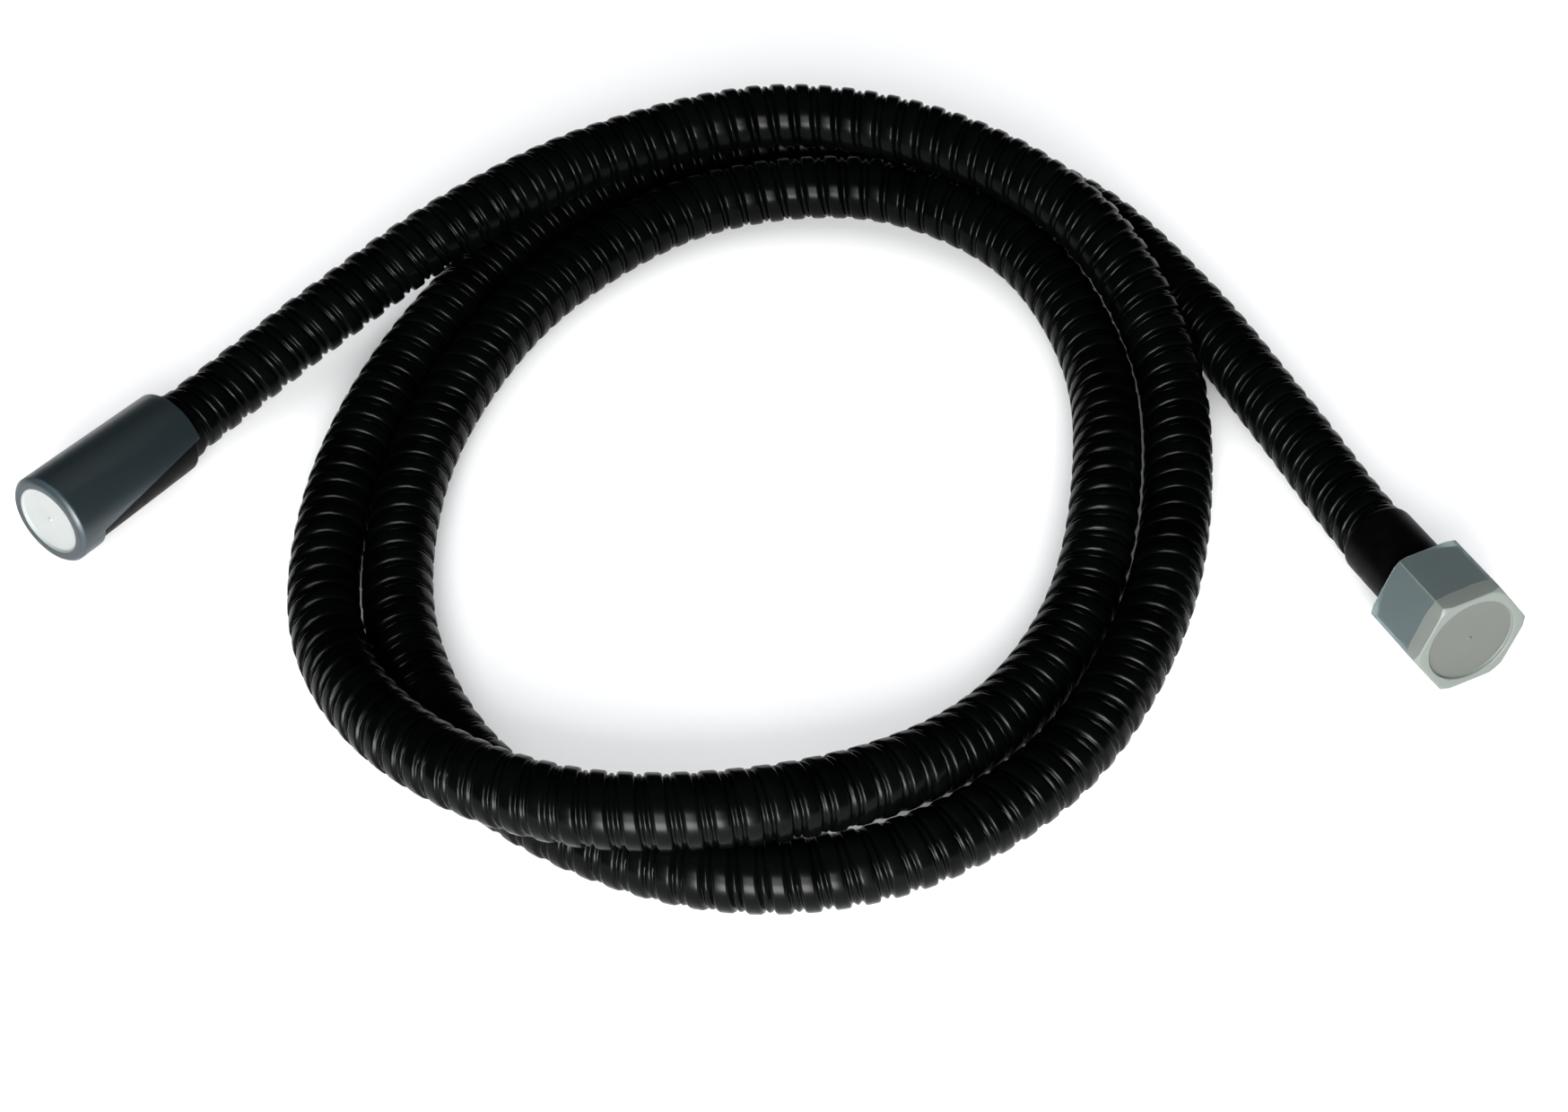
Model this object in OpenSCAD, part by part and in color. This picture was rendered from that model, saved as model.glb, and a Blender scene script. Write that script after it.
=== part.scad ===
// Flexible shower hose with a G 1/2 hexagon swivel nut at one end and a G 1/2 conical swivel nut at the other.
// It lies on the floor in about two and a half loose turns, with a clear protective cap on each nut.
// Z is up and the floor is Z = 0. Each fitting is built along its own +Z, which points out of the nut's mouth
// and starts where the corrugated hose goes into the ferrule.

/* [Hose] */
// Outer diameter of the interlocked strip
hose_d = 17; // [17:0.1:17.2]
// Thickness of the strip with its folds
strip_t = 1.6; // [1.2:0.1:1.8]
// Thickness of the woven sleeve under the strip
braid_t = 0.6; // [0.4:0.1:0.6]
// Bore of the water tube
tube_bore_d = 9; // [8:0.5:9]

/* [Fittings] */
// Radius that a G 1/2 internal thread leaves free
thread_r = 9.3155; // [9.3:0.0005:9.35]
// Across flats of the hexagon nut
hex_nut_af = 24; // [23.5:0.1:24]
// How far the hexagon nut's front face is from the start of the ferrule
hex_nut_front = 37; // [36:0.5:37.5]
// Diameter of the conical nut at its mouth
cone_nut_d = 21.8; // [21.4:0.1:21.9]
// Diameter of the conical nut at its rear edge
cone_rear_d = 20.6; // [20:0.1:21]
// How far the conical nut's front face is from the start of the ferrule
cone_nut_front = 43; // [40:0.5:43]

/* [Caps] */
// Across flats of the hexagon cap
hex_cap_af = 25.6; // [25:0.1:26]
// Diameter of the round cap at its closed end
cone_cap_d = 23.4; // [23:0.1:24]
// Diameter of the round cap at its open end
cone_cap_rear_d = 22.6; // [22.4:0.1:23]

/* [Hidden] */
$fn = 72;

// The hose's centreline as it was laid out, from the conical nut to the hexagon nut, clockwise seen from above.
laid_route = [
    [-150, 42, 11], [-118, 76, 16.5], [-83, 104, 25.5], [-46, 132, 25.5], [-1, 144, 28],
    [43, 133.1, 27.6], [78, 105, 24.1], [96, 67, 13.5], [96.1, 22, 9.5], [84.4, -26.1, 11.5],
    [60, -67, 11], [22, -91, 9.5], [-21.9, -92, 8.5], [-64.8, -69.2, 8.9], [-87.8, -29.1, 9.2],
    [-91.3, 18.1, 9.5], [-80.5, 61.2, 9.5], [-58, 101, 8.5], [-21, 129, 10], [24, 132, 12.4],
    [60.9, 109.9, 11.4], [79, 69, 9], [77.8, 17.1, 13], [66.6, -23.9, 9], [42, -60, 13.5],
    [4, -85, 23.5], [-43.1, -89, 25.5], [-81.2, -68.8, 21.2], [-104.4, -31.9, 13.3],
    [-108.7, 14.9, 9], [-99.3, 59.8, 8.5], [-78.9, 101.9, 8.5], [-49, 136, 8.5], [-6, 154, 9],
    [41, 151, 9.5], [80, 127, 9.5], [105, 90, 9], [125, 46, 9], [142, 4, 10.5]];
// Shift that brings the middle of the whole part's footprint to the origin.
to_middle = [7.1, -30.3, 0.03];
route = [for (p = laid_route) p + to_middle];
// Directions out of the two mouths, a little above level because the nuts are thicker than the hose.
cone_aim = [-23, -33, 3.5];
hex_aim = [15, -37, 5.5];

sides = 12;
rings_per_span = 2;
braid_d = hose_d - 2 * strip_t;
tube_d = braid_d - 2 * braid_t;
sheath_in = 6;
tube_in = 14;

// Depths along a fitting's own axis.
ferrule_front = 21.3;
ferrule_wall = tube_in;
lip_rear = 21.5;
lip_front = 23.5;
flange_rear = 24.5;
flange_front = 26.5;
washer_rear = 26.55;
thread_start = 28.6;
play = 0.05;

hex_ferrule_r = 9.3;
cone_ferrule_r = 8.8;
neck_r = 6.5;
lip_r = neck_r + play;
pocket_r = 9;
flange_r = 8.85;
water_r = 3.6;
mouth_chamfer = 0.8;

hex_roll = 35;
hex_nut_rear = 21.5;
hex_cap_rear = 21;
hex_cap_front = 41;
hex_cap_inner_front = 38.6;
hex_cap_inner_af = hex_nut_af + 0.1;

cone_nut_rear = 4;
cone_skirt_r = 9;
cone_cap_rear = 3.8;
cone_cap_front = 45;
cone_cap_inner_front = 43.4;
cone_cap_inner_r = cone_nut_d / 2 + play;

recess_depth = 0.9;
recess_edge = 1.8;
sprue_r = 0.5;
sprue_h = 0.35;

slit_turn = 53;
slit_from = 5.6;
slit_tilt = 6.85;
slit_len = 38;

function unit(v) = v / norm(v);
function last(list) = list[len(list) - 1];

// Hermite curve through the route: each inner point's tangent runs between its neighbours, and the two end
// tangents lie along the fittings.
function tangent(i) =
    i == 0 ? -unit(cone_aim) * norm(route[1] - route[0])
    : i == len(route) - 1 ? unit(hex_aim) * norm(route[i] - route[i - 1])
    : (route[i + 1] - route[i - 1]) / 2;
function curve_at(i, t) =
    (2 * pow(t, 3) - 3 * pow(t, 2) + 1) * route[i] + (pow(t, 3) - 2 * pow(t, 2) + t) * tangent(i)
    + (3 * pow(t, 2) - 2 * pow(t, 3)) * route[i + 1] + (pow(t, 3) - pow(t, 2)) * tangent(i + 1);
function slope_at(i, t) =
    (6 * pow(t, 2) - 6 * t) * (route[i] - route[i + 1]) + (3 * pow(t, 2) - 4 * t + 1) * tangent(i)
    + (3 * pow(t, 2) - 2 * t) * tangent(i + 1);

// Ring centres and directions, with a straight stretch of the given length inside each ferrule.
function centres(inside) = concat(
    [route[0] + unit(cone_aim) * inside],
    [for (i = [0 : len(route) - 2], s = [0 : rings_per_span - 1]) curve_at(i, s / rings_per_span)],
    [last(route), last(route) + unit(hex_aim) * inside]);
function directions() = concat(
    [-unit(cone_aim)],
    [for (i = [0 : len(route) - 2], s = [0 : rings_per_span - 1]) unit(slope_at(i, s / rings_per_span))],
    [unit(hex_aim), unit(hex_aim)]);
function across(d) = unit(cross([0, 0, 1], d));
function ring(c, d, r) = [for (k = [0 : sides - 1])
    c + r * cos(360 * k / sides) * across(d) + r * sin(360 * k / sides) * cross(d, across(d))];

// Two triangles for each quad between ring j and the next ring, for the layer that starts at point base.
function skin(base, count, outward) = [for (j = [0 : count - 2], k = [0 : sides - 1], half = [0, 1])
    let (a = base + j * sides + k,
        b = base + j * sides + (k + 1) % sides,
        tri = half == 0 ? [a, b, b + sides] : [a, b + sides, a + sides])
    outward ? [tri[0], tri[2], tri[1]] : tri];
function rim(outer, inner, forward) = [for (k = [0 : sides - 1], half = [0, 1])
    let (k2 = (k + 1) % sides,
        tri = half == 0 ? [outer + k, outer + k2, inner + k2] : [outer + k, inner + k2, inner + k])
    forward ? [tri[0], tri[2], tri[1]] : tri];

module swept_tube(outer_r, inner_r, inside) {
    c = centres(inside);
    d = directions();
    n = len(c);
    points = concat(
        [for (j = [0 : n - 1]) each ring(c[j], d[j], outer_r)],
        [for (j = [0 : n - 1]) each ring(c[j], d[j], inner_r)]);
    faces = concat(
        skin(0, n, true),
        skin(n * sides, n, false),
        rim(0, n * sides, false),
        rim((n - 1) * sides, (2 * n - 1) * sides, true));
    polyhedron(points, faces, convexity = 10);
}

// Place children at an end of the hose with +Z out of the mouth.
module at_end(start, aim) {
    d = unit(aim);
    translate(start) rotate([0, acos(d.z), atan2(d.y, d.x)]) children();
}
module at_cone_end() at_end(route[0], cone_aim) children();
module at_hex_end() at_end(last(route), hex_aim) children();

module tube(r, inner_r, from, to) {
    rotate_extrude() translate([inner_r, from]) square([r - inner_r, to - from]);
}

// Smooth sleeve with a rounded rear edge that holds the strip, closed in front down to the tail's neck.
module ferrule(r) {
    bore_r = hose_d / 2;
    rear_edge = (r - bore_r) / 2;
    front_edge = 0.6;
    rotate_extrude() polygon([
        [bore_r, 0], [r - rear_edge, 0], [r, rear_edge * 2], [r, ferrule_front - front_edge],
        [r - front_edge, ferrule_front], [neck_r, ferrule_front], [neck_r, ferrule_wall], [bore_r, ferrule_wall]]);
}

// Tail piece: three barbs in the water tube, a neck through the nut and a flange that the nut pulls on.
module tail() {
    barb_r = tube_bore_d / 2;
    groove_r = barb_r - 0.4;
    rotate_extrude() polygon([
        [water_r, 0.5], [groove_r, 0.5], [barb_r, 4], [groove_r, 4], [barb_r, 8], [groove_r, 8], [barb_r, 12],
        [barb_r, ferrule_wall], [neck_r, ferrule_wall], [neck_r, flange_rear], [flange_r, flange_rear],
        [flange_r, flange_front], [water_r, flange_front]]);
}

// Wedge ring that presses the sleeve and the water tube onto the barbs.
module crimp_ring() tube(hose_d / 2, braid_d / 2, sheath_in, ferrule_wall);

// Slippery ring between the nut's lip and the tail's flange.
module glide_ring() tube(flange_r, neck_r, lip_front + play, flange_rear);

module washer() tube(pocket_r - play, 5, washer_rear, thread_start);

// The hollow that both nuts share: lip around the neck, pocket for flange and washer, then the thread.
module nut_hollow(front) {
    rotate_extrude() polygon([
        [0, lip_rear - 1], [lip_r, lip_rear - 1], [lip_r, lip_front], [pocket_r, lip_front],
        [pocket_r, thread_start], [thread_r, thread_start], [thread_r, front - mouth_chamfer],
        [thread_r + mouth_chamfer, front], [thread_r + mouth_chamfer, front + 1], [0, front + 1]]);
}

// A hexagon prism whose corners are cut to a cone at both ends.
module chamfered_hex(af, from, to, rear_cut, front_cut) {
    corner_r = af / sqrt(3);
    intersection() {
        translate([0, 0, from]) cylinder(r = corner_r, h = to - from, $fn = 6);
        rotate_extrude() polygon([
            [0, from], [corner_r - rear_cut, from], [corner_r + 0.1, from + rear_cut + 0.1],
            [corner_r + 0.1, to - front_cut * 0.7 - 0.07], [corner_r - front_cut, to], [0, to]]);
    }
}

// Dished front face with the small pip that the moulding leaves in the middle.
module dished_front(r, front) {
    difference() {
        children();
        translate([0, 0, front - recess_depth]) cylinder(r = r, h = recess_depth + 1);
    }
    translate([0, 0, front - recess_depth]) cylinder(r = sprue_r, h = sprue_h, $fn = 24);
}

module hose_sheath() color([0.03, 0.03, 0.035]) swept_tube(hose_d / 2, braid_d / 2, sheath_in);
module braid() color([0.75, 0.75, 0.72]) swept_tube(braid_d / 2, tube_d / 2, tube_in);
module inner_tube() color([0.85, 0.86, 0.82]) swept_tube(tube_d / 2, tube_bore_d / 2, tube_in);

module hex_ferrule() color([0.03, 0.03, 0.03]) at_hex_end() ferrule(hex_ferrule_r);
module hex_tail() color([0.72, 0.6, 0.3]) at_hex_end() tail();
module hex_crimp_ring() color([0.7, 0.7, 0.7]) at_hex_end() crimp_ring();
module hex_glide_ring() color([0.9, 0.9, 0.88]) at_hex_end() glide_ring();
module hex_washer() color([0.1, 0.1, 0.1]) at_hex_end() washer();
module hex_nut() color([0.04, 0.04, 0.04]) at_hex_end() rotate([0, 0, hex_roll]) difference() {
    chamfered_hex(hex_nut_af, hex_nut_rear, hex_nut_front, 1.9, 2);
    nut_hollow(hex_nut_front);
}
module hex_cap() color([0.75, 0.78, 0.76]) at_hex_end() rotate([0, 0, hex_roll]) {
    dished_front(hex_cap_af / 2 - recess_edge, hex_cap_front) difference() {
        chamfered_hex(hex_cap_af, hex_cap_rear, hex_cap_front, 0.8, 1.2);
        translate([0, 0, hex_cap_rear - 1])
            cylinder(r = hex_cap_inner_af / sqrt(3), h = hex_cap_inner_front - hex_cap_rear + 1, $fn = 6);
    }
}

module cone_ferrule() color([0.03, 0.03, 0.03]) at_cone_end() ferrule(cone_ferrule_r);
module cone_tail() color([0.72, 0.6, 0.3]) at_cone_end() tail();
module cone_crimp_ring() color([0.7, 0.7, 0.7]) at_cone_end() crimp_ring();
module cone_glide_ring() color([0.9, 0.9, 0.88]) at_cone_end() glide_ring();
module cone_washer() color([0.1, 0.1, 0.1]) at_cone_end() washer();
module cone_nut() color([0.04, 0.04, 0.04]) at_cone_end() difference() {
    rotate_extrude() polygon([
        [0, cone_nut_rear], [cone_rear_d / 2 - 0.6, cone_nut_rear], [cone_rear_d / 2, cone_nut_rear + 0.6],
        [cone_nut_d / 2, cone_nut_front - 0.5], [cone_nut_d / 2 - 0.5, cone_nut_front], [0, cone_nut_front]]);
    nut_hollow(cone_nut_front);
    translate([0, 0, cone_nut_rear - 1]) cylinder(r = cone_skirt_r, h = lip_rear - cone_nut_rear + 1);
}
module cone_cap() color([0.55, 0.6, 0.62]) at_cone_end() {
    dished_front(cone_cap_d / 2 - recess_edge * 1.6, cone_cap_front) difference() {
        rotate_extrude() polygon([
            [cone_cap_inner_r, cone_cap_rear], [cone_cap_rear_d / 2, cone_cap_rear],
            [cone_cap_d / 2, cone_cap_front - 0.9], [cone_cap_d / 2 - 0.9, cone_cap_front], [0, cone_cap_front],
            [0, cone_cap_inner_front], [cone_cap_inner_r, cone_cap_inner_front]]);
        rotate([0, 0, slit_turn]) translate([slit_from, -hose_d, 0]) rotate([0, slit_tilt, 0])
            translate([0, 0, -2]) cube([hose_d, 2 * hose_d, slit_len + 2]);
    }
}

hose_sheath();
braid();
inner_tube();
hex_ferrule();
hex_tail();
hex_crimp_ring();
hex_glide_ring();
hex_nut();
hex_washer();
hex_cap();
cone_ferrule();
cone_tail();
cone_crimp_ring();
cone_glide_ring();
cone_nut();
cone_washer();
cone_cap();
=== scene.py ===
"""Looks of a flexible shower hose that lies in loose turns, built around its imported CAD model.

Lengths are in metres, in the CAD model's frame: +X to the right, +Z up, floor at Z = 0.
A fitting's own pieces are made along +Z, which points out of its mouth, and then set on the hose's end.
"""

import math

import bmesh
import bpy
import numpy as np
from mathutils import Matrix, Vector


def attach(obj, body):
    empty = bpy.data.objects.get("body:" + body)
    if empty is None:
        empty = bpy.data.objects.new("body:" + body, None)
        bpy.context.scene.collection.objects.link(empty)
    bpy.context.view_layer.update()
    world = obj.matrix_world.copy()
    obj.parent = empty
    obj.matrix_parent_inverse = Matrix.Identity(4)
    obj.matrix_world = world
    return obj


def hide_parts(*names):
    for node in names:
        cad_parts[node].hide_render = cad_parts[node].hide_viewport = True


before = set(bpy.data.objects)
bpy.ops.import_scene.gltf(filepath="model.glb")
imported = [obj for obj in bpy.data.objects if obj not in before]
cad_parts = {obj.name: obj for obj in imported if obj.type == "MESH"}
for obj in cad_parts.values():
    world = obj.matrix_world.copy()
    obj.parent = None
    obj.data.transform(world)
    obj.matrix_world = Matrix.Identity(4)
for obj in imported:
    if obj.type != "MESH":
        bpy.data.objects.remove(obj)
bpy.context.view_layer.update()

MM = 0.001

# The hose's centreline as it was laid out, from the conical nut to the hexagon nut.
LAID_ROUTE = [
    (-0.150, 0.042, 0.011), (-0.118, 0.076, 0.0165), (-0.083, 0.104, 0.0255), (-0.046, 0.132, 0.0255),
    (-0.001, 0.144, 0.028), (0.043, 0.1331, 0.0276), (0.078, 0.105, 0.0241), (0.096, 0.067, 0.0135),
    (0.0961, 0.022, 0.0095), (0.0844, -0.0261, 0.0115), (0.060, -0.067, 0.011), (0.022, -0.091, 0.0095),
    (-0.0219, -0.092, 0.0085), (-0.0648, -0.0692, 0.0089), (-0.0878, -0.0291, 0.0092),
    (-0.0913, 0.0181, 0.0095), (-0.0805, 0.0612, 0.0095), (-0.058, 0.101, 0.0085), (-0.021, 0.129, 0.010),
    (0.024, 0.132, 0.0124), (0.0609, 0.1099, 0.0114), (0.079, 0.069, 0.009), (0.0778, 0.0171, 0.013),
    (0.0666, -0.0239, 0.009), (0.042, -0.060, 0.0135), (0.004, -0.085, 0.0235), (-0.0431, -0.089, 0.0255),
    (-0.0812, -0.0688, 0.0212), (-0.1044, -0.0319, 0.0133), (-0.1087, 0.0149, 0.009),
    (-0.0993, 0.0598, 0.0085), (-0.0789, 0.1019, 0.0085), (-0.049, 0.136, 0.0085), (-0.006, 0.154, 0.009),
    (0.041, 0.151, 0.0095), (0.080, 0.127, 0.0095), (0.105, 0.090, 0.009), (0.125, 0.046, 0.009),
    (0.142, 0.004, 0.0105)]
# Shift that brings the middle of the whole part's footprint to the origin.
TO_MIDDLE = Vector((0.0071, -0.0303, 0.00003))
ROUTE = [Vector(p) + TO_MIDDLE for p in LAID_ROUTE]
# Directions out of the two mouths.
CONE_AIM = Vector((-23, -33, 3.5)).normalized()
HEX_AIM = Vector((15, -37, 5.5)).normalized()

HOSE_R = 8.5 * MM
BORE_R = 6.95 * MM
# How far the strip and the tubes inside it reach into the pieces at each end.
SHEATH_IN = 6 * MM
TUBE_IN = 14 * MM
# (inner radius, outer radius) of the tubes inside the strip.
WOVEN_WALL = (6.35 * MM, 6.82 * MM)
WATER_WALL = (4.5 * MM, 6.25 * MM)
RING_GAP = 5 * MM  # between rings of the smooth walls

# The strip is slacker beside the conical nut. Its pitch also wanders a little, as waves of
# (share of the pitch, length along the hose in metres, phase).
PITCH = 6.0 * MM
SLACK_PITCH = 6.7 * MM
SLACK_LEN = 130 * MM
WANDER = ((0.02, 0.023, 0), (0.015, 0.0091, 1))
# Corners of the strip's mesh in a turn, points on each span of the route and on the straight stretch at each end,
# and how many points the curvature is averaged over.
STEPS_PER_TURN = 22
STEPS_PER_SPAN = 24
STEPS_PER_END = 4
SMOOTHING = 9

# The strip's outline over one pitch, in millimetres. Each band keeps its width in a bend, and the grooves open or
# close, until the ridge narrows between the crowns on the inner side of a tight bend.
# Entries are (distance along the hose from the band's middle, depth below the hose's radius).
CROWN = [(-1.88, 0.74), (-1.72, 0.26), (-1.35, 0.04), (-1.0, 0.0),
         (1.0, 0.0), (1.35, 0.04), (1.72, 0.26), (1.88, 0.74)]
RIDGE = [(-0.62, 0.82), (-0.24, 0.44), (0.24, 0.44), (0.62, 0.82)]
GROOVE_DEPTH = 1.1
LEAST_GROOVE = 0.15
LEAST_RIDGE_SHARE = 0.3
# Shares of the pitch at which the middles of the two bands lie.
CROWN_AT = 0.31
RIDGE_AT = 0.81

# Sizes of the fittings in millimetres: radii from the axis, depths along it from the hose's end towards the mouth.
# AF is a size across the flats, and THREAD_STEP is the height of one row of a thread's mesh.
# The corners of a hexagon are cut off by (behind, in front).
HOSE_HOLE_R, NECK_HOLE_R, FERRULE_STEP, FERRULE_FRONT = 8.5, 6.5, 14, 21.3
HEX_FERRULE_R, CONE_FERRULE_R = 9.3, 8.8
THREAD_R, THREAD_PITCH, THREAD_DEPTH, THREAD_STEP = 9.3155, 1.814, 0.85, 0.151
LIP_R, POCKET_R = 6.55, 9.0
LIP_REAR, LIP_FRONT, THREAD_START = 21.5, 23.5, 28.6
MOUTH_CHAMFER = 0.8
SEAL_INNER_R, SEAL_OUTER_R, SEAL_REAR = 5, 8.95, 26.55
HEX_NUT_AF, HEX_NUT_CORNER, HEX_NUT_FRONT, HEX_NUT_CUTS = 24, 0.5, 37, (1.9, 2)
CONE_NUT_REAR, CONE_NUT_FRONT, CONE_NUT_REAR_R, CONE_NUT_FRONT_R = 4, 43, 10.3, 10.9
HEX_CAP_AF, HEX_CAP_CORNER, HEX_CAP_CUTS = 25.6, 0.45, (0.8, 1.2)
HEX_CAP_INNER_AF, HEX_CAP_INNER_CORNER = 24.1, 0.3
HEX_CAP_REAR, HEX_CAP_FLOOR, HEX_CAP_FRONT, HEX_DISH_R = 21, 38.6, 41, 11
HEX_ROLL_DEG = 35
CONE_CAP_REAR, CONE_CAP_FLOOR, CONE_CAP_FRONT, CONE_DISH_R = 3.8, 43.4, 45, 8.8
CONE_CAP_INNER_R, CONE_CAP_REAR_R, CONE_CAP_FRONT_R = 10.95, 11.3, 11.7
DISH_DEPTH = 0.9
# The flat side of the round cap: where it faces, its distance from the axis at the hose's end of the fitting, and
# how much it leans outwards towards the mouth.
FLAT_FACES_DEG, FLAT_OUT, FLAT_LEAN_DEG = 53, 5.6, 6.85


# ---------------------------------------------------------------- the hose

def curve_points(inside):
    """Points on the Hermite curve that the CAD tubes follow, with the straight stretch inside each end's pieces."""
    last = len(ROUTE) - 1
    tangents = [-CONE_AIM * (ROUTE[1] - ROUTE[0]).length]
    tangents += [(ROUTE[i + 1] - ROUTE[i - 1]) / 2 for i in range(1, last)]
    tangents += [HEX_AIM * (ROUTE[last] - ROUTE[last - 1]).length]
    points = [ROUTE[0] + CONE_AIM * inside * (1 - k / STEPS_PER_END) for k in range(STEPS_PER_END)]
    for i in range(last):
        for k in range(STEPS_PER_SPAN):
            t = k / STEPS_PER_SPAN
            points.append((2 * t**3 - 3 * t**2 + 1) * ROUTE[i] + (t**3 - 2 * t**2 + t) * tangents[i]
                          + (3 * t**2 - 2 * t**3) * ROUTE[i + 1] + (t**3 - t**2) * tangents[i + 1])
    points += [ROUTE[last] + HEX_AIM * inside * k / STEPS_PER_END for k in range(STEPS_PER_END + 1)]
    return np.array(points)


class Line:
    """The hose's centreline by distance along it: place, direction, sideways, upwards and curvature."""

    def __init__(self, points):
        self.points = points
        steps = np.linalg.norm(np.diff(points, axis=0), axis=1)
        self.along = np.concatenate([[0], np.cumsum(steps)])
        self.length = self.along[-1]
        slopes = np.gradient(points, self.along, axis=0)
        self.slopes = slopes / np.linalg.norm(slopes, axis=1)[:, None]
        bends = np.gradient(self.slopes, self.along, axis=0)
        kernel = np.ones(SMOOTHING) / SMOOTHING
        self.bends = np.stack([np.convolve(bends[:, k], kernel, "same") for k in range(3)], axis=1)

    def at(self, s, table):
        """Values of a table at the distances s along the hose."""
        return np.stack([np.interp(s, self.along, table[:, k]) for k in range(3)], axis=-1)

    def axes(self, s):
        """Unit vectors along the hose, level across it and upwards from it, at the distances s."""
        direction = self.at(s, self.slopes)
        direction /= np.linalg.norm(direction, axis=-1)[..., None]
        across = np.cross([0, 0, 1], direction)
        across /= np.linalg.norm(across, axis=-1)[..., None]
        return direction, across, np.cross(direction, across)


def turn_starts(line):
    """Distances along the hose at which the strip has made each next step of a turn, from before it to past it."""
    starts = [-1.3 * SLACK_PITCH]
    while starts[-1] < line.length + 0.3 * PITCH:
        s = starts[-1]
        slack = max(0.0, 1 - s / SLACK_LEN)
        wander = sum(share * math.sin(s / reach + phase) for share, reach, phase in WANDER)
        pitch = PITCH * (1 + wander) + (SLACK_PITCH - PITCH) * min(1.0, 2 * slack)
        starts.append(s + pitch / STEPS_PER_TURN)
    return np.array(starts)


def strip_grid(line):
    """Corners of the wound strip, one row per step of the turn and one column per point of the outline.

    Returns the corners' places and their distances along the hose.
    """
    starts = turn_starts(line)
    angles = 2 * math.pi * np.arange(len(starts)) / STEPS_PER_TURN
    turn_after = np.interp(np.arange(len(starts)) + STEPS_PER_TURN, np.arange(len(starts)), starts)
    pitch = np.maximum(turn_after - starts, 0.9 * PITCH)
    inside = np.clip(starts, 0, line.length)
    _, across, up = line.axes(inside)
    out = np.cos(angles)[:, None] * across + np.sin(angles)[:, None] * up
    # Length of the hose's skin at this side of a bend, as a share of the centreline's.
    stretch = 1 - HOSE_R * (line.at(inside, line.bends) * out).sum(1)
    # Half the room that neighbouring crowns leave for the ridge, in millimetres.
    room = pitch * stretch / 2 / MM - CROWN[-1][0] - LEAST_GROOVE
    shown = np.clip(room / RIDGE[-1][0], LEAST_RIDGE_SHARE, 1)

    def band(middle, outline, share):
        return [(starts + middle * pitch + offset * MM * share / stretch, depth * MM) for offset, depth in outline]

    crown = band(CROWN_AT, CROWN, 1)
    ridge = band(RIDGE_AT, RIDGE, shown)
    next_edge = starts + (1 + CROWN_AT) * pitch + CROWN[0][0] * MM / stretch
    grooves = [((crown[-1][0] + ridge[0][0]) / 2, GROOVE_DEPTH * MM),
               ((ridge[-1][0] + next_edge) / 2, GROOVE_DEPTH * MM)]
    columns = crown + [grooves[0]] + ridge + [grooves[1]]
    s = np.clip(np.stack([c[0] for c in columns], axis=1), 0, line.length)
    depth = np.array([c[1] for c in columns])
    _, across, up = line.axes(s)
    turn = angles[:, None, None]
    radius = (HOSE_R - depth)[None, :, None]
    places = line.at(s, line.points) + radius * (np.cos(turn) * across + np.sin(turn) * up)
    return places, s


def ring_places(line, s, radius):
    """Rings of places around the centreline, one for each distance along it."""
    _, across, up = line.axes(s)
    turn = (2 * math.pi * np.arange(STEPS_PER_TURN) / STEPS_PER_TURN)[None, :, None]
    centre = line.at(s, line.points)[:, None, :]
    return centre + radius * (np.cos(turn) * across[:, None, :] + np.sin(turn) * up[:, None, :])


def add_wall(bm, line, radius):
    """A plain wall around the centreline from end to end. Returns its rings of corners."""
    s = np.linspace(0, line.length, round(line.length / RING_GAP))
    rings = [[bm.verts.new(p) for p in ring] for ring in ring_places(line, s, radius)]
    for ring, after in zip(rings, rings[1:]):
        for k in range(STEPS_PER_TURN):
            n = (k + 1) % STEPS_PER_TURN
            bm.faces.new([ring[k], ring[n], after[n], after[k]])
    return rings


def make_tube(name, line, inner_r, outer_r):
    """A smooth tube along the hose."""
    bm = bmesh.new()
    inner, outer = add_wall(bm, line, inner_r), add_wall(bm, line, outer_r)
    for end in (0, -1):
        for k in range(STEPS_PER_TURN):
            n = (k + 1) % STEPS_PER_TURN
            bm.faces.new([inner[end][k], inner[end][n], outer[end][n], outer[end][k]])
    bmesh.ops.recalc_face_normals(bm, faces=bm.faces)
    return finish_mesh(bm, name)


def close_end(bm, place):
    """Joins the strip's open edge near an end to the bore's last ring."""
    near = [e for e in bm.edges if e.is_boundary and all((v.co - place).length < 1.3 * HOSE_R for v in e.verts)]
    bmesh.ops.bridge_loops(bm, edges=near)


def make_hose(line):
    """The strip wound into a hose: a crowned band and a narrow ridge for each turn, and a plain bore."""
    places, s = strip_grid(line)
    rows, columns, _ = places.shape
    bm = bmesh.new()
    corners = [[bm.verts.new(p) for p in row] for row in places]
    for i in range(rows - 1 - STEPS_PER_TURN):
        for j in range(columns):
            after = (i, j + 1) if j + 1 < columns else (i + STEPS_PER_TURN, 0)
            quad = [(i, j), after, (after[0] + 1, after[1]), (i + 1, j)]
            along = [s[q] for q in quad]
            if max(along) <= 0 or min(along) >= line.length:
                continue
            bm.faces.new([corners[r][c] for r, c in quad])
    bmesh.ops.delete(bm, geom=[v for v in bm.verts if not v.link_faces], context="VERTS")
    bmesh.ops.remove_doubles(bm, verts=bm.verts, dist=1e-6)
    add_wall(bm, line, BORE_R)
    for place in (line.points[0], line.points[-1]):
        close_end(bm, Vector(place))
    bmesh.ops.recalc_face_normals(bm, faces=bm.faces)
    return finish_mesh(bm, "hose", sharp_deg=85)


# ---------------------------------------------------------------- turned and hexagonal pieces

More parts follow.
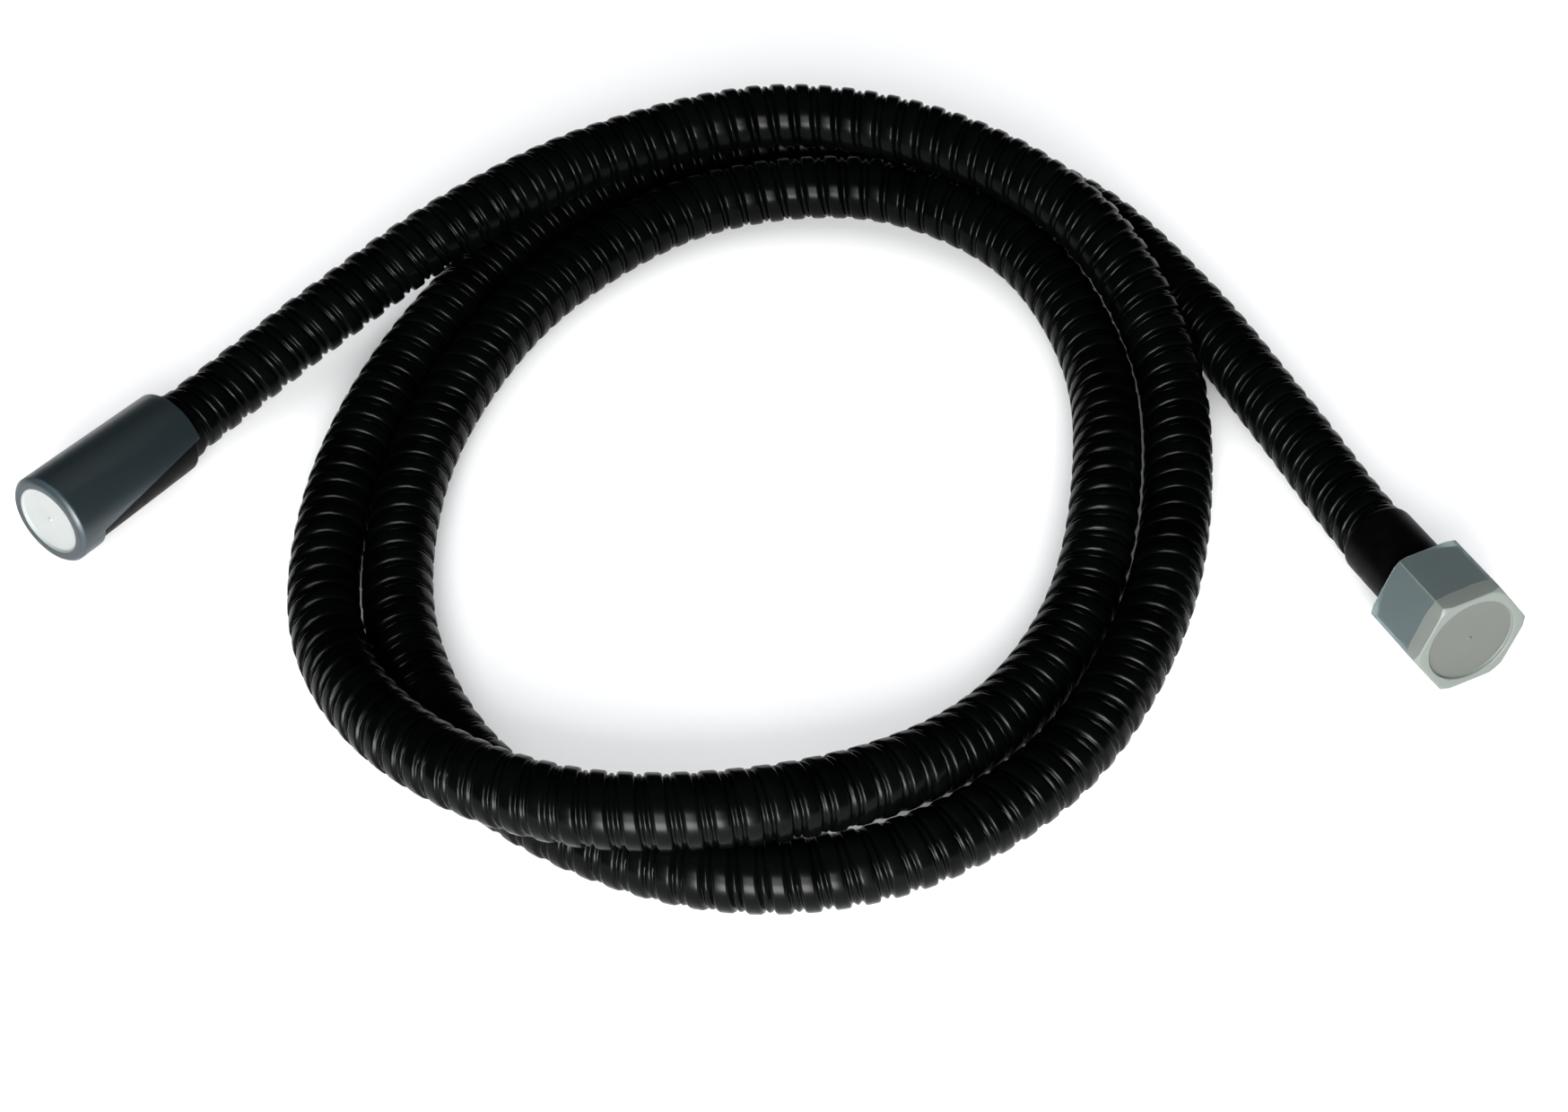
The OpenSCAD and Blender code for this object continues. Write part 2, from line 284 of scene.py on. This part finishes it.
def finish_mesh(bm, name, sharp_deg=40):
    """Turns a bmesh into an object in the scene, smooth except at edges sharper than the angle."""
    mesh = bpy.data.meshes.new(name)
    bm.to_mesh(mesh)
    bm.free()
    mesh.polygons.foreach_set("use_smooth", [True] * len(mesh.polygons))
    mesh.set_sharp_from_angle(angle=math.radians(sharp_deg))
    piece = bpy.data.objects.new(name, mesh)
    bpy.context.scene.collection.objects.link(piece)
    return piece


def rounded(outline, radius, closed=True):
    """The outline in (r, z) with each corner replaced by points on a small curve."""
    steps = 3
    count = len(outline)
    result = []
    for i, corner in enumerate(outline):
        here = np.array(corner, float)
        if not closed and i in (0, count - 1):
            result.append(here)
            continue
        before = np.array(outline[i - 1], float) - here
        after = np.array(outline[(i + 1) % count], float) - here
        reach = min(radius, 0.45 * np.linalg.norm(before), 0.45 * np.linalg.norm(after))
        start = here + before / np.linalg.norm(before) * reach
        end = here + after / np.linalg.norm(after) * reach
        for k in range(steps + 1):
            t = k / steps
            result.append((1 - t)**2 * start + 2 * t * (1 - t) * here + t**2 * end)
    return result


def lathe(name, outline_at, angles, closed=True, slot_at=None):
    """A solid whose outline in (r, z), in millimetres, may change with the angle. An open one ends on the axis."""
    bm = bmesh.new()
    outlines = [outline_at(angle) for angle in angles]
    columns = [[bm.verts.new((r * math.cos(angle) * MM, r * math.sin(angle) * MM, z * MM)) for r, z in outline]
               for angle, outline in zip(angles, outlines)]
    rows = len(columns[0])
    for k, column in enumerate(columns):
        after = columns[(k + 1) % len(columns)]
        for i in range(rows if closed else rows - 1):
            n = (i + 1) % rows
            face = bm.faces.new([column[i], after[i], after[n], column[n]])
            if slot_at:
                face.material_index = slot_at(*(np.array(outlines[k][i]) + outlines[k][n]) / 2)
    bmesh.ops.remove_doubles(bm, verts=bm.verts, dist=1e-7)
    bmesh.ops.recalc_face_normals(bm, faces=bm.faces)
    return finish_mesh(bm, name)


ROUND_SIDES = 96
ROUND = [2 * math.pi * k / ROUND_SIDES for k in range(ROUND_SIDES)]


def hex_angles(across_flats, corner_round):
    """Angles of a hexagon with rounded corners, close together at the corners."""
    per_flat, per_corner = 8, 4
    apothem = across_flats / 2
    half = apothem * math.tan(math.pi / 6)
    edge = half - corner_round * math.tan(math.pi / 6)
    angles = []
    for side in range(6):
        middle = (side + 0.5) * math.pi / 3
        for k in range(per_flat + 1):
            angles.append(middle + math.atan2(edge * (2 * k / per_flat - 1), apothem))
        corner = (side + 1) * math.pi / 3
        gap = corner - (middle + math.atan2(edge, apothem))
        angles += [corner + gap * (2 * k / (per_corner + 1) - 1) for k in range(1, per_corner + 1)]
    return angles


def hex_radius(angle, across_flats, corner_round):
    """Distance from the axis to a hexagon whose corners, at multiples of 60 degrees, are rounded."""
    apothem = across_flats / 2
    off = (angle + 1e-9) % (math.pi / 3) - math.pi / 6
    half = apothem * math.tan(math.pi / 6)
    edge = half - corner_round * math.tan(math.pi / 6)
    if abs(math.tan(off)) * apothem <= edge + 1e-6:
        return apothem / math.cos(off)
    centre = (apothem - corner_round) / math.cos(math.pi / 6)
    turn = math.pi / 6 - abs(off)
    return centre * math.cos(turn) + math.sqrt(corner_round**2 - (centre * math.sin(turn))**2)


def threaded_bore(angle, front):
    """Inside of a nut from its mouth back to its lip, with a right-hand thread that fades out at both ends."""
    edge, crest, slope, fade_over = 0.12, 0.1, 0.3, 0.6
    rows = [(THREAD_R + MOUTH_CHAMFER, front), (THREAD_R + edge, front - MOUTH_CHAMFER + edge)]
    top, bottom = front - MOUTH_CHAMFER - 0.1, THREAD_START + 0.9
    count = round((top - bottom) / THREAD_STEP)
    for k in range(count + 1):
        z = top + (bottom - top) * k / count
        phase = (z / THREAD_PITCH - angle / (2 * math.pi)) % 1
        flank = min(1.0, max(0.0, (abs(phase - 0.5) - crest) / slope))
        fade = min(1.0, (top - z) / fade_over + 0.2, (z - bottom) / fade_over)
        rows.append((THREAD_R + THREAD_DEPTH * flank * fade, z))
    rows += [(THREAD_R, THREAD_START), (POCKET_R, THREAD_START - 0.2), (POCKET_R, LIP_FRONT), (LIP_R, LIP_FRONT)]
    return rows


def hex_outline(angle, across_flats, corner_round, start, front, rear_cut, front_cut):
    """Outside of a chamfered hexagon at this angle, from the rear face's edge to the front face's edge."""
    corner_r = across_flats / math.sqrt(3)
    r = hex_radius(angle, across_flats, corner_round)
    rear_r, front_r = corner_r - rear_cut, corner_r - front_cut
    return [(min(rear_r, r - 0.2), start), (r, start + max(0.2, r - rear_r)),
            (r, front - max(0.2, 0.7 * (r - front_r))), (min(front_r, r - 0.2), front)]


def end_place(start, aim, roll_deg=0.0):
    """Where a piece made along +Z goes so that +Z points out of the mouth at that end of the hose."""
    turn = Matrix.Rotation(math.atan2(aim.y, aim.x), 4, "Z") @ Matrix.Rotation(math.acos(aim.z), 4, "Y")
    return Matrix.Translation(start) @ turn @ Matrix.Rotation(math.radians(roll_deg), 4, "Z")


HEX_END = end_place(ROUTE[-1], HEX_AIM, HEX_ROLL_DEG)
CONE_END = end_place(ROUTE[0], CONE_AIM)


def settle(piece, place, body, node, slot, *materials):
    """Sets a piece on its end of the hose, where it rides on a body and stands for a CAD node."""
    piece.data.transform(place)
    for material in materials:
        piece.data.materials.append(material)
    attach(piece, body)
    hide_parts(node)
    return piece


def make_sleeve(name, outer_r):
    """Ferrule that holds the strip: a drawn sleeve with soft edges, closed in front down to the tail's neck."""
    edge, nose = (outer_r - HOSE_HOLE_R) / 2, 0.6
    outline = [(HOSE_HOLE_R, 0), (outer_r - edge, 0), (outer_r, 2 * edge), (outer_r, FERRULE_FRONT - nose),
               (outer_r - nose, FERRULE_FRONT), (NECK_HOLE_R, FERRULE_FRONT), (NECK_HOLE_R, FERRULE_STEP),
               (HOSE_HOLE_R, FERRULE_STEP)]
    corners = rounded(outline, 0.5)
    return lathe(name, lambda angle: corners, ROUND)


def make_seal(name):
    """Flat washer behind a nut's thread."""
    outline = rounded([(SEAL_INNER_R, SEAL_REAR), (SEAL_OUTER_R, SEAL_REAR), (SEAL_OUTER_R, THREAD_START),
                       (SEAL_INNER_R, THREAD_START)], 0.35)
    return lathe(name, lambda angle: outline, ROUND)


def make_hex_nut():
    """Hexagon swivel nut with cut corners, a thread and a lip that turns on the tail's neck."""
    def outline(angle):
        outer = hex_outline(angle, HEX_NUT_AF, HEX_NUT_CORNER, LIP_REAR, HEX_NUT_FRONT, *HEX_NUT_CUTS)
        mouth = (THREAD_R + MOUTH_CHAMFER, HEX_NUT_FRONT)
        skin = rounded([(LIP_R, LIP_REAR), *outer, mouth], 0.25, closed=False)
        return skin + threaded_bore(angle, HEX_NUT_FRONT)[1:]
    return lathe("hexagon_nut", outline, hex_angles(HEX_NUT_AF, HEX_NUT_CORNER))


def make_cone_nut():
    """Conical swivel nut whose skirt covers the ferrule."""
    rear_edge, front_edge = 0.6, 0.5
    body = [(POCKET_R, LIP_REAR), (POCKET_R, CONE_NUT_REAR), (CONE_NUT_REAR_R - rear_edge, CONE_NUT_REAR),
            (CONE_NUT_REAR_R, CONE_NUT_REAR + rear_edge), (CONE_NUT_FRONT_R, CONE_NUT_FRONT - front_edge),
            (CONE_NUT_FRONT_R - front_edge, CONE_NUT_FRONT), (THREAD_R + MOUTH_CHAMFER, CONE_NUT_FRONT)]
    skin = rounded(body, 0.4, closed=False)

    def outline(angle):
        return skin + threaded_bore(angle, CONE_NUT_FRONT)[1:] + [(LIP_R, LIP_REAR)]
    return lathe("conical_nut", outline, ROUND)


def dished(front, edge_r):
    """Closed end seen from the axis outwards: moulding pip, dished floor and the step up to the rim."""
    floor = front - DISH_DEPTH
    return [(0, floor + 0.35), (0.45, floor + 0.3), (0.55, floor), (edge_r, floor), (edge_r + 0.15, front)]


def make_hex_cap():
    """Closed hexagonal cup. Its thick front is paler than the thin wall, which has the black nut behind it. The
    dished floor is tinted darker than the rim as painted shade, and the rounded corners along the flats take the
    rim's paler plastic as a painted highlight line.
    """
    pale_from, arch, blend, painted_highlight_from_r = 36.4, 0.8, 0.3, 14.655

    def outline(angle):
        rear, low, high, front = hex_outline(angle, HEX_CAP_AF, HEX_CAP_CORNER, HEX_CAP_REAR, HEX_CAP_FRONT,
                                             *HEX_CAP_CUTS)
        inner = hex_radius(angle, HEX_CAP_INNER_AF, HEX_CAP_INNER_CORNER)
        # The pale part reaches furthest back in the middle of each flat.
        band = pale_from + arch * (6 * abs((angle + 1e-9) % (math.pi / 3) / math.pi - 1 / 6)) ** 2
        outer = [rear, low, (low[0], band), (low[0], band + blend), high, front]
        cavity = [(inner, HEX_CAP_REAR), (inner, HEX_CAP_FLOOR), (0, HEX_CAP_FLOOR)]
        return rounded([*dished(HEX_CAP_FRONT, HEX_DISH_R), *reversed(outer), *cavity], 0.3, closed=False)

    def slot_at(r, z):
        """0 is the wall, 1 the pale rim and the rounded corners, where the paler plastic is a painted highlight
        line, 2 the dished floor, tinted darker than the rim as painted shade.
        """
        if z > HEX_CAP_FLOOR - 0.1 and r < HEX_DISH_R - 0.1:
            return 2
        return 1 if z > pale_from + 0.1 or r > painted_highlight_from_r else 0
    angles = hex_angles(HEX_CAP_AF, HEX_CAP_CORNER)
    return lathe("hexagon_cap", outline, angles, closed=False, slot_at=slot_at)


def make_flat_cutter():
    """The block that cuts the round cap's flat side. It starts behind the cap and stops short of its closed end."""
    wide, high, deep, rear = 17, 34, 40, -2
    cut = Matrix.Rotation(math.radians(FLAT_FACES_DEG), 4, "Z") @ Matrix.Translation((FLAT_OUT * MM, 0, 0))
    cut = cut @ Matrix.Rotation(math.radians(FLAT_LEAN_DEG), 4, "Y")
    bm = bmesh.new()
    bmesh.ops.create_cube(bm, size=1)
    bmesh.ops.transform(bm, matrix=Matrix.Diagonal((wide * MM, high * MM, deep * MM, 1)), verts=bm.verts)
    place = cut @ Matrix.Translation((wide / 2 * MM, 0, (rear + deep / 2) * MM))
    bmesh.ops.transform(bm, matrix=place, verts=bm.verts)
    return finish_mesh(bm, "cutter")


def make_cone_cap():
    """Round tapered cap, cut away flat along one side so that it slips over the nut."""
    edge = 0.9
    outer = [(CONE_CAP_FRONT_R - edge, CONE_CAP_FRONT), (CONE_CAP_FRONT_R, CONE_CAP_FRONT - edge),
             (CONE_CAP_REAR_R, CONE_CAP_REAR)]
    cavity = [(CONE_CAP_INNER_R, CONE_CAP_REAR), (CONE_CAP_INNER_R, CONE_CAP_FLOOR), (0, CONE_CAP_FLOOR)]
    corners = rounded([*dished(CONE_CAP_FRONT, CONE_DISH_R), *outer, *cavity], 0.3, closed=False)

    def slot_at(r, z):
        """0 is the wall and the rim, 1 the closed end."""
        return 1 if z > CONE_CAP_FLOOR - 0.1 and r < CONE_DISH_R + 0.2 else 0
    cap = lathe("round_cap", lambda angle: corners, ROUND, closed=False, slot_at=slot_at)
    cutter = make_flat_cutter()
    modifier = cap.modifiers.new("cut", "BOOLEAN")
    modifier.object = cutter
    modifier.solver = "EXACT"
    shown = cap.evaluated_get(bpy.context.evaluated_depsgraph_get())
    mesh = bpy.data.meshes.new_from_object(shown)
    cap.modifiers.clear()
    cap.data = mesh
    bpy.data.objects.remove(cutter)
    mesh.set_sharp_from_angle(angle=math.radians(40))
    return cap


# ---------------------------------------------------------------- materials

# The usual ranges of a noise, over which a value or a colour goes from its first end to its second.
VALUE_SPAN = (0.3, 0.7)
COLOUR_SPAN = (0.35, 0.65)


def new_material(name, **sockets):
    """A Principled material with these socket values. Returns it with its node tree and shader."""
    material = bpy.data.materials.new(name)
    material.use_nodes = True
    tree = material.node_tree
    shader = tree.nodes["Principled BSDF"]
    for socket, value in sockets.items():
        shader.inputs[socket.replace("_", " ")].default_value = value
    return material, tree, shader


def add_noise(tree, per_m, detail=4.0):
    """Noise fixed to the piece, with about this many lumps in a metre."""
    place = tree.nodes.new("ShaderNodeTexCoord")
    noise = tree.nodes.new("ShaderNodeTexNoise")
    noise.inputs["Scale"].default_value = per_m
    noise.inputs["Detail"].default_value = detail
    tree.links.new(place.outputs["Object"], noise.inputs["Vector"])
    return noise.outputs["Fac"]


def vary(tree, value, low, high, socket):
    """Drives a socket from low to high as value rises."""
    span = tree.nodes.new("ShaderNodeMapRange")
    span.inputs["From Min"].default_value, span.inputs["From Max"].default_value = VALUE_SPAN
    span.inputs["To Min"].default_value = low
    span.inputs["To Max"].default_value = high
    tree.links.new(value, span.inputs["Value"])
    tree.links.new(span.outputs["Result"], socket)


def mix_colours(tree, value, first, second, socket):
    """Drives a colour socket from the first colour to the second as value rises."""
    mix = tree.nodes.new("ShaderNodeValToRGB")
    for element, position, colour in zip(mix.color_ramp.elements, COLOUR_SPAN, (first, second)):
        element.position = position
        element.color = (*colour, 1)
    tree.links.new(value, mix.inputs["Fac"])
    tree.links.new(mix.outputs["Color"], socket)


def add_bump(tree, shader, value, depth, strength):
    """Raises and lowers the shaded surface by value, up to this depth in metres."""
    bump = tree.nodes.new("ShaderNodeBump")
    bump.inputs["Distance"].default_value = depth
    bump.inputs["Strength"].default_value = strength
    tree.links.new(value, bump.inputs["Height"])
    tree.links.new(bump.outputs["Normal"], shader.inputs["Normal"])


def black_strip():
    """Lacquered strip: deep black with a soft gloss, faintly uneven and dulled in patches."""
    material, tree, shader = new_material("black_strip", Specular_IOR_Level=0.048)
    mix_colours(tree, add_noise(tree, 90), (0.0003, 0.0004, 0.0004), (0.0008, 0.0010, 0.0010),
                shader.inputs["Base Color"])
    vary(tree, add_noise(tree, 260, 6), 0.20, 0.28, shader.inputs["Roughness"])
    add_bump(tree, shader, add_noise(tree, 900, 3), 0.02 * MM, 0.3)
    return material


def black_metal():
    """Satin black coating on the sleeves and nuts, with a fine orange peel."""
    material, tree, shader = new_material("black_metal", Specular_IOR_Level=0.03)
    mix_colours(tree, add_noise(tree, 150), (0.0006, 0.0006, 0.0007), (0.0012, 0.0012, 0.0013),
                shader.inputs["Base Color"])
    vary(tree, add_noise(tree, 500, 5), 0.33, 0.46, shader.inputs["Roughness"])
    add_bump(tree, shader, add_noise(tree, 2600, 3), 0.02 * MM, 0.5)
    return material


def soft_plastic(name, tint, clear, rough):
    """Translucent moulded plastic. clear is the share of the light that it lets through."""
    material, tree, shader = new_material(name, Transmission_Weight=clear, IOR=1.45, Specular_IOR_Level=0.25)
    paler = tuple(min(1, 1.04 * c) for c in tint)
    mix_colours(tree, add_noise(tree, 120), tint, paler, shader.inputs["Base Color"])
    shader.inputs["Roughness"].default_value = rough
    return material


def black_rubber():
    """Matt rubber of the seals."""
    material, tree, shader = new_material("black_rubber", Specular_IOR_Level=0.3)
    mix_colours(tree, add_noise(tree, 300), (0.012, 0.012, 0.012), (0.022, 0.022, 0.021),
                shader.inputs["Base Color"])
    vary(tree, add_noise(tree, 700, 6), 0.6, 0.8, shader.inputs["Roughness"])
    add_bump(tree, shader, add_noise(tree, 3000, 4), 0.03 * MM, 0.7)
    return material


def turned_metal(name, dark, light, low, high):
    """Bare metal that varies between two colours, and in roughness from low to high."""
    material, tree, shader = new_material(name, Metallic=1.0)
    mix_colours(tree, add_noise(tree, 200, 6), dark, light, shader.inputs["Base Color"])
    vary(tree, add_noise(tree, 900, 6), low, high, shader.inputs["Roughness"])
    add_bump(tree, shader, add_noise(tree, 4000, 2), 0.01 * MM, 0.4)
    return material


def plain_polymer(name, dark, light, low, high):
    """Opaque plastic that varies between two colours, and in roughness from low to high."""
    material, tree, shader = new_material(name)
    mix_colours(tree, add_noise(tree, 120), dark, light, shader.inputs["Base Color"])
    vary(tree, add_noise(tree, 600, 5), low, high, shader.inputs["Roughness"])
    add_bump(tree, shader, add_noise(tree, 2000, 3), 0.02 * MM, 0.4)
    return material


def woven_sleeve():
    """Polyester sleeve: a small over-and-under check with fibres that catch the light."""
    material, tree, shader = new_material("woven_sleeve", Roughness=0.75)
    place = tree.nodes.new("ShaderNodeTexCoord")
    check = tree.nodes.new("ShaderNodeTexChecker")
    check.inputs["Scale"].default_value = 900
    tree.links.new(place.outputs["Object"], check.inputs["Vector"])
    mix_colours(tree, check.outputs["Fac"], (0.52, 0.52, 0.49), (0.66, 0.66, 0.63), shader.inputs["Base Color"])
    add_bump(tree, shader, check.outputs["Fac"], 0.1 * MM, 0.8)
    return material


def pale_floor():
    """Matt, nearly white floor."""
    material, tree, shader = new_material("pale_floor", Specular_IOR_Level=0.1)
    mix_colours(tree, add_noise(tree, 3), (0.86, 0.86, 0.86), (0.88, 0.88, 0.88), shader.inputs["Base Color"])
    vary(tree, add_noise(tree, 40), 0.75, 0.85, shader.inputs["Roughness"])
    return material


def dress_cad_nodes():
    """Better finishes for the CAD nodes that stay: the inner pieces of the two ends."""
    brass = turned_metal("brass", (0.60, 0.42, 0.17), (0.72, 0.53, 0.25), 0.22, 0.36)
    steel = turned_metal("plain_steel", (0.50, 0.50, 0.50), (0.62, 0.62, 0.61), 0.3, 0.45)
    white = plain_polymer("white_plastic", (0.80, 0.80, 0.78), (0.86, 0.86, 0.84), 0.35, 0.5)
    finishes = {}
    for end in ("hex", "cone"):
        finishes[end + "_tail"] = brass
        finishes[end + "_crimp_ring"] = steel
        finishes[end + "_glide_ring"] = white
    for node, material in finishes.items():
        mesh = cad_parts[node].data
        mesh.materials.clear()
        mesh.materials.append(material)


# ---------------------------------------------------------------- the stage

LOOKS_DOWN_DEG = 47
LENS_MM = 63.43
CAMERA_PLACE = (0.0071, -0.4806, 0.4914)
FLOOR_HALF_WIDTH = 6


def add_camera():
    """Looks down along +Y, from where the loops fill the view."""
    data = bpy.data.cameras.new("camera")
    data.sensor_width = 36
    data.lens = LENS_MM
    camera = bpy.data.objects.new("camera", data)
    camera.location = CAMERA_PLACE
    camera.rotation_euler = (math.radians(90 - LOOKS_DOWN_DEG), 0, 0)
    bpy.context.scene.collection.objects.link(camera)
    bpy.context.scene.camera = camera


def add_softbox(name, place, target, size, power, shines=True):
    """A rectangular light. One that does not shine lights surfaces but leaves no highlight on them."""
    data = bpy.data.lights.new(name, "AREA")
    data.shape = "RECTANGLE"
    data.size, data.size_y = size
    data.energy = power
    lamp = bpy.data.objects.new(name, data)
    lamp.location = place
    lamp.visible_glossy = shines
    lamp.rotation_euler = (Vector(target) - Vector(place)).to_track_quat("-Z", "Y").to_euler()
    bpy.context.scene.collection.objects.link(lamp)


def add_stage():
    """The floor, the three lights and a pale world that lights surfaces but isn't mirrored in them."""
    bm = bmesh.new()
    bmesh.ops.create_grid(bm, x_segments=2, y_segments=2, size=FLOOR_HALF_WIDTH)
    floor = finish_mesh(bm, "floor")
    floor.data.materials.append(pale_floor())
    add_softbox("overhead", (0, 0.1, 1.6), (0, 0.1, 0), (2.4, 2.4), 12, shines=False)
    add_softbox("tall_front", (-0.04, -1.10, 0.44), (0, 0, 0.02), (0.50, 0.84), 27)
    add_softbox("low_front", (-0.012, -0.55, 0.085), (-0.008, -0.1, 0.012), (0.24, 0.16), 5.2)
    world = bpy.data.worlds.new("studio")
    world.use_nodes = True
    background = world.node_tree.nodes["Background"]
    background.inputs["Color"].default_value = (0.96, 0.98, 1.0, 1)
    background.inputs["Strength"].default_value = 0.72
    bpy.context.scene.world = world
    world.cycles_visibility.glossy = False
    bpy.context.scene.view_settings.view_transform = "Standard"


# ---------------------------------------------------------------- putting it together

add_camera()
line = Line(curve_points(SHEATH_IN))
hose = make_hose(line)
hose.data.materials.append(black_strip())
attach(hose, "hose")
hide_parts("hose_sheath")

tube_line = Line(curve_points(TUBE_IN))
tubes = (("woven_sleeve", "braid", WOVEN_WALL, woven_sleeve()),
         ("water_tube", "inner_tube", WATER_WALL,
          plain_polymer("water_tube", (0.66, 0.68, 0.64), (0.74, 0.75, 0.72), 0.4, 0.55)))
for name, node, wall, material in tubes:
    tube = make_tube(name, tube_line, *wall)
    tube.data.materials.append(material)
    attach(tube, "hose")
    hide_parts(node)

metal = black_metal()
rubber = black_rubber()
# The rim's plastic also goes on the hexagon cap's rounded corners as a painted highlight line. The disc's plastic
# is the rim's plastic tinted darker as painted shade.
milky = (soft_plastic("milky_plastic", (0.36, 0.45, 0.46), 0.90, 0.34),
         soft_plastic("milky_plastic_rim_and_painted_highlight", (0.135, 0.150, 0.138), 0.35, 0.40),
         soft_plastic("milky_plastic_disc_painted_shade", (0.088, 0.094, 0.084), 0.35, 0.40))
grey_clear = (soft_plastic("grey_clear_plastic", (0.045, 0.075, 0.088), 0.90, 0.38),
              soft_plastic("grey_clear_plastic_disc", (0.37, 0.39, 0.38), 0.50, 0.36))
hex_sleeve = settle(make_sleeve("hexagon_end_sleeve", HEX_FERRULE_R), HEX_END, "hose", "hex_ferrule",
                    "black_metal", metal)
settle(make_sleeve("cone_end_sleeve", CONE_FERRULE_R), CONE_END, "hose", "cone_ferrule", "black_metal", metal)
hex_nut = settle(make_hex_nut(), HEX_END, "hex_swivel", "hex_nut", "black_metal", metal)
settle(make_cone_nut(), CONE_END, "cone_swivel", "cone_nut", "black_metal", metal)
hex_seal = settle(make_seal("hexagon_end_seal"), HEX_END, "hex_swivel", "hex_washer", "black_rubber", rubber)
settle(make_seal("cone_end_seal"), CONE_END, "cone_swivel", "cone_washer", "black_rubber", rubber)
hex_cap = settle(make_hex_cap(), HEX_END, "hex_cover", "hex_cap", "milky_plastic", *milky)
settle(make_cone_cap(), CONE_END, "cone_cover", "cone_cap", "grey_clear_plastic", *grey_clear)
dress_cad_nodes()

[tuple(p) for p in line.points]
add_stage()
